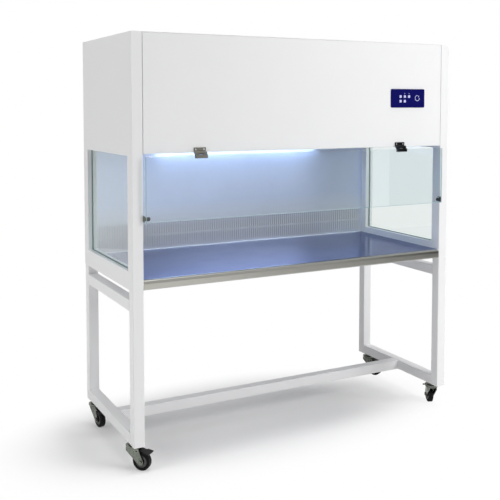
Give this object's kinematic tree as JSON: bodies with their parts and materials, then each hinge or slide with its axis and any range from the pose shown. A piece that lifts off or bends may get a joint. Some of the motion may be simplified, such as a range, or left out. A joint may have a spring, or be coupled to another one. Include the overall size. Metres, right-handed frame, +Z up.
{
  "type": "laminar flow hood",
  "caption": "Wide clean bench with vertical airflow: folded steel case with side windows, hinged glass sash, steel worktop and control panel, on an open tube stand with braked swivel casters.",
  "frame": {"origin": "on the floor, under the middle of the stand's footprint", "axes": "+X to the right as the user sees the front, +Y to the rear, +Z up"},
  "size_m": [1.5994, 0.675, 1.728],
  "materials": {
    "white_powder_coat": "satin powder coat",
    "clear_glass": "polished",
    "stainless_steel": "fine brushed",
    "galvanised_steel": "matt",
    "motor_paint": "satin",
    "black_plastic": "matt",
    "filter_frame": "anodised",
    "filter_media": "matt",
    "prefilter_mat": "matt",
    "lamp_glass": "frosted",
    "navy_panel": "satin film",
    "pale_key": "satin",
    "hinge_metal": "satin",
    "zinc_plate": "zinc plated",
    "black_rubber": "matt",
    "wheel_rubber": "matt"
  },
  "bodies": {
    "cabinet": {"back_wall": "stainless_steel", "control_box": "black_plastic", "control_panel": "navy_panel", "diffuser_screen": "stainless_steel", "fan_deck": "galvanised_steel", "front_left_caster_stem": "zinc_plate", "front_panel": "white_powder_coat", "front_right_caster_stem": "zinc_plate", "germicidal_lamp": "lamp_glass", "hepa_frame": "filter_frame", "hepa_media": "filter_media", "lamp_batten": "galvanised_steel", "left_blower_housing": "galvanised_steel", "left_blower_motor": "motor_paint", "left_buffer": "black_rubber", "left_buffer_bracket": "zinc_plate", "left_hinge_leaf": "hinge_metal", "left_side_frame": "white_powder_coat", "left_side_panel": "white_powder_coat", "left_window_glass": "clear_glass", "power_inlet": "black_plastic", "prefilter": "prefilter_mat", "rear_cover": "white_powder_coat", "rear_left_caster_stem": "zinc_plate", "rear_right_caster_stem": "zinc_plate", "right_blower_housing": "galvanised_steel", "right_blower_motor": "motor_paint", "right_buffer": "black_rubber", "right_buffer_bracket": "zinc_plate", "right_hinge_leaf": "hinge_metal", "right_side_frame": "white_powder_coat", "right_side_panel": "white_powder_coat", "right_window_glass": "clear_glass", "stretcher": "white_powder_coat", "top_cover": "white_powder_coat", "work_lamp": "lamp_glass", "worktop": "stainless_steel"},
    "sash": {"sash_glass": "clear_glass", "left_hinge_clamp": "hinge_metal", "right_hinge_clamp": "hinge_metal"},
    "front_left_fork": {"front_left_caster_fork": "zinc_plate"},
    "front_left_wheel": {"front_left_caster_wheel": "wheel_rubber"},
    "front_left_pedal": {"front_left_brake_pedal": "black_plastic"},
    "front_right_fork": {"front_right_caster_fork": "zinc_plate"},
    "front_right_wheel": {"front_right_caster_wheel": "wheel_rubber"},
    "front_right_pedal": {"front_right_brake_pedal": "black_plastic"},
    "rear_left_fork": {"rear_left_caster_fork": "zinc_plate"},
    "rear_left_wheel": {"rear_left_caster_wheel": "wheel_rubber"},
    "rear_left_pedal": {"rear_left_brake_pedal": "black_plastic"},
    "rear_right_fork": {"rear_right_caster_fork": "zinc_plate"},
    "rear_right_wheel": {"rear_right_caster_wheel": "wheel_rubber"},
    "rear_right_pedal": {"rear_right_brake_pedal": "black_plastic"},
    "left_blower_rotor": {"left_blower_wheel": "galvanised_steel"},
    "right_blower_rotor": {"right_blower_wheel": "galvanised_steel"},
    "lamp_key_button": {"lamp_key": "pale_key"},
    "germicidal_key_button": {"germicidal_key": "pale_key"},
    "fan_key_button": {"fan_key": "pale_key"},
    "slower_key_button": {"slower_key": "pale_key"},
    "faster_key_button": {"faster_key": "pale_key"},
    "power_key_button": {"power_key": "pale_key"}
  },
  "joints": [
    {"name": "sash_hinge", "type": "hinge", "parent": "cabinet", "child": "sash", "pos_m": [0, -0.33, 1.258], "axis": [-1, 0, 0], "range_deg": [0, 90]},
    {"name": "front_left_swivel", "type": "hinge", "parent": "cabinet", "child": "front_left_fork", "pos_m": [-0.7575, -0.255, 0.09], "axis": [0, 0, 1], "continuous": true},
    {"name": "front_left_roll", "type": "hinge", "parent": "front_left_fork", "child": "front_left_wheel", "pos_m": [-0.73341, -0.28175, 0.0375], "axis": [0.7431, 0.6691, 0], "continuous": true},
    {"name": "front_left_brake", "type": "hinge", "parent": "front_left_fork", "child": "front_left_pedal", "pos_m": [-0.74412, -0.26986, 0.08], "axis": [0.7431, 0.6691, 0], "range_deg": [0, 7]},
    {"name": "front_right_swivel", "type": "hinge", "parent": "cabinet", "child": "front_right_fork", "pos_m": [0.7575, -0.255, 0.09], "axis": [0, 0, 1], "continuous": true},
    {"name": "front_right_roll", "type": "hinge", "parent": "front_right_fork", "child": "front_right_wheel", "pos_m": [0.77214, -0.22211, 0.0375], "axis": [-0.9135, 0.4067, 0], "continuous": true},
    {"name": "front_right_brake", "type": "hinge", "parent": "front_right_fork", "child": "front_right_pedal", "pos_m": [0.76563, -0.23673, 0.08], "axis": [-0.9135, 0.4067, 0], "range_deg": [0, 7]},
    {"name": "rear_left_swivel", "type": "hinge", "parent": "cabinet", "child": "rear_left_fork", "pos_m": [-0.7575, 0.255, 0.09], "axis": [0, 0, 1], "continuous": true},
    {"name": "rear_left_roll", "type": "hinge", "parent": "rear_left_fork", "child": "rear_left_wheel", "pos_m": [-0.75125, 0.21955, 0.0375], "axis": [0.9848, 0.1736, 0], "continuous": true},
    {"name": "rear_left_brake", "type": "hinge", "parent": "rear_left_fork", "child": "rear_left_pedal", "pos_m": [-0.75403, 0.2353, 0.08], "axis": [0.9848, 0.1736, 0], "range_deg": [0, 7]},
    {"name": "rear_right_swivel", "type": "hinge", "parent": "cabinet", "child": "rear_right_fork", "pos_m": [0.7575, 0.255, 0.09], "axis": [0, 0, 1], "continuous": true},
    {"name": "rear_right_roll", "type": "hinge", "parent": "rear_right_fork", "child": "rear_right_wheel", "pos_m": [0.77214, 0.22211, 0.0375], "axis": [0.9135, 0.4067, 0], "continuous": true},
    {"name": "rear_right_brake", "type": "hinge", "parent": "rear_right_fork", "child": "rear_right_pedal", "pos_m": [0.76563, 0.23673, 0.08], "axis": [0.9135, 0.4067, 0], "range_deg": [0, 7]},
    {"name": "left_blower_spin", "type": "hinge", "parent": "cabinet", "child": "left_blower_rotor", "pos_m": [-0.35, 0, 1.582], "axis": [1, 0, 0], "continuous": true},
    {"name": "right_blower_spin", "type": "hinge", "parent": "cabinet", "child": "right_blower_rotor", "pos_m": [0.35, 0, 1.582], "axis": [1, 0, 0], "continuous": true},
    {"name": "lamp_key_press", "type": "slide", "parent": "cabinet", "child": "lamp_key_button", "axis": [0, 1, 0], "range_m": [0, 0.0005], "stiffness_N_per_m": 400, "springref_m": -0.001},
    {"name": "germicidal_key_press", "type": "slide", "parent": "cabinet", "child": "germicidal_key_button", "axis": [0, 1, 0], "range_m": [0, 0.0005], "stiffness_N_per_m": 400, "springref_m": -0.001},
    {"name": "fan_key_press", "type": "slide", "parent": "cabinet", "child": "fan_key_button", "axis": [0, 1, 0], "range_m": [0, 0.0005], "stiffness_N_per_m": 400, "springref_m": -0.001},
    {"name": "slower_key_press", "type": "slide", "parent": "cabinet", "child": "slower_key_button", "axis": [0, 1, 0], "range_m": [0, 0.0005], "stiffness_N_per_m": 400, "springref_m": -0.001},
    {"name": "faster_key_press", "type": "slide", "parent": "cabinet", "child": "faster_key_button", "axis": [0, 1, 0], "range_m": [0, 0.0005], "stiffness_N_per_m": 400, "springref_m": -0.001},
    {"name": "power_key_press", "type": "slide", "parent": "cabinet", "child": "power_key_button", "axis": [0, 1, 0], "range_m": [0, 0.0005], "stiffness_N_per_m": 400, "springref_m": -0.001}
  ]
}
